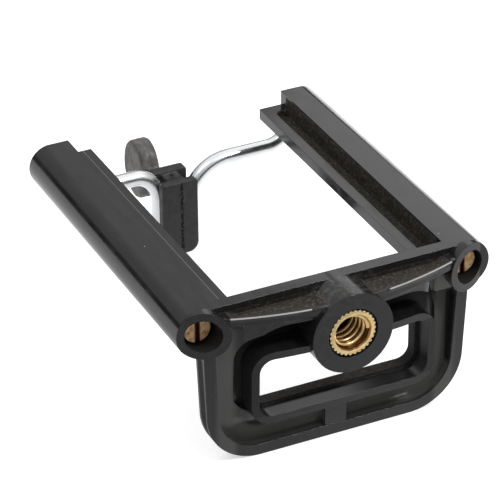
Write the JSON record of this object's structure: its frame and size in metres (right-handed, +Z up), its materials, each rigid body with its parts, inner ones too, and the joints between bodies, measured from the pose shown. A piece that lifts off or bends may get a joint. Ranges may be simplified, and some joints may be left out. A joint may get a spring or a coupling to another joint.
{
  "type": "phone mount adapter",
  "caption": "Sprung phone clamp with two tubular arms, a front plate with a brass tripod nut and a sliding wire hoop with a rubber grip.",
  "frame": {"origin": "middle of the bounding box in X and Y, at the height of the front plate's lower edge", "axes": "+X to the right seen from the tripod screw's side, +Y along the arms away from the tripod screw, +Z up to the arms"},
  "size_m": [0.058, 0.0892, 0.0309],
  "materials": {
    "moulded_black_plastic": "satin moulded black",
    "brass": "turned",
    "nut_brass": "turned, slotted",
    "plated_wire": "bright plated",
    "spring_steel": "drawn wire",
    "black_rubber": "matte moulded"
  },
  "bodies": {
    "frame_body": {"frame": "moulded_black_plastic", "tripod_nut": "brass", "right_spring": "spring_steel", "left_spring": "spring_steel"},
    "hoop_body": {"wire_hoop": "plated_wire", "right_rod_nut": "nut_brass", "left_rod_nut": "nut_brass", "rubber_grip": "black_rubber"}
  },
  "joints": [
    {"name": "hoop_slide", "type": "slide", "parent": "frame_body", "child": "hoop_body", "axis": [0, 1, 0], "range_m": [0, 0.03], "stiffness_N_per_m": 300, "springref_m": -0.012, "deforming": ["right_spring", "left_spring"]}
  ]
}
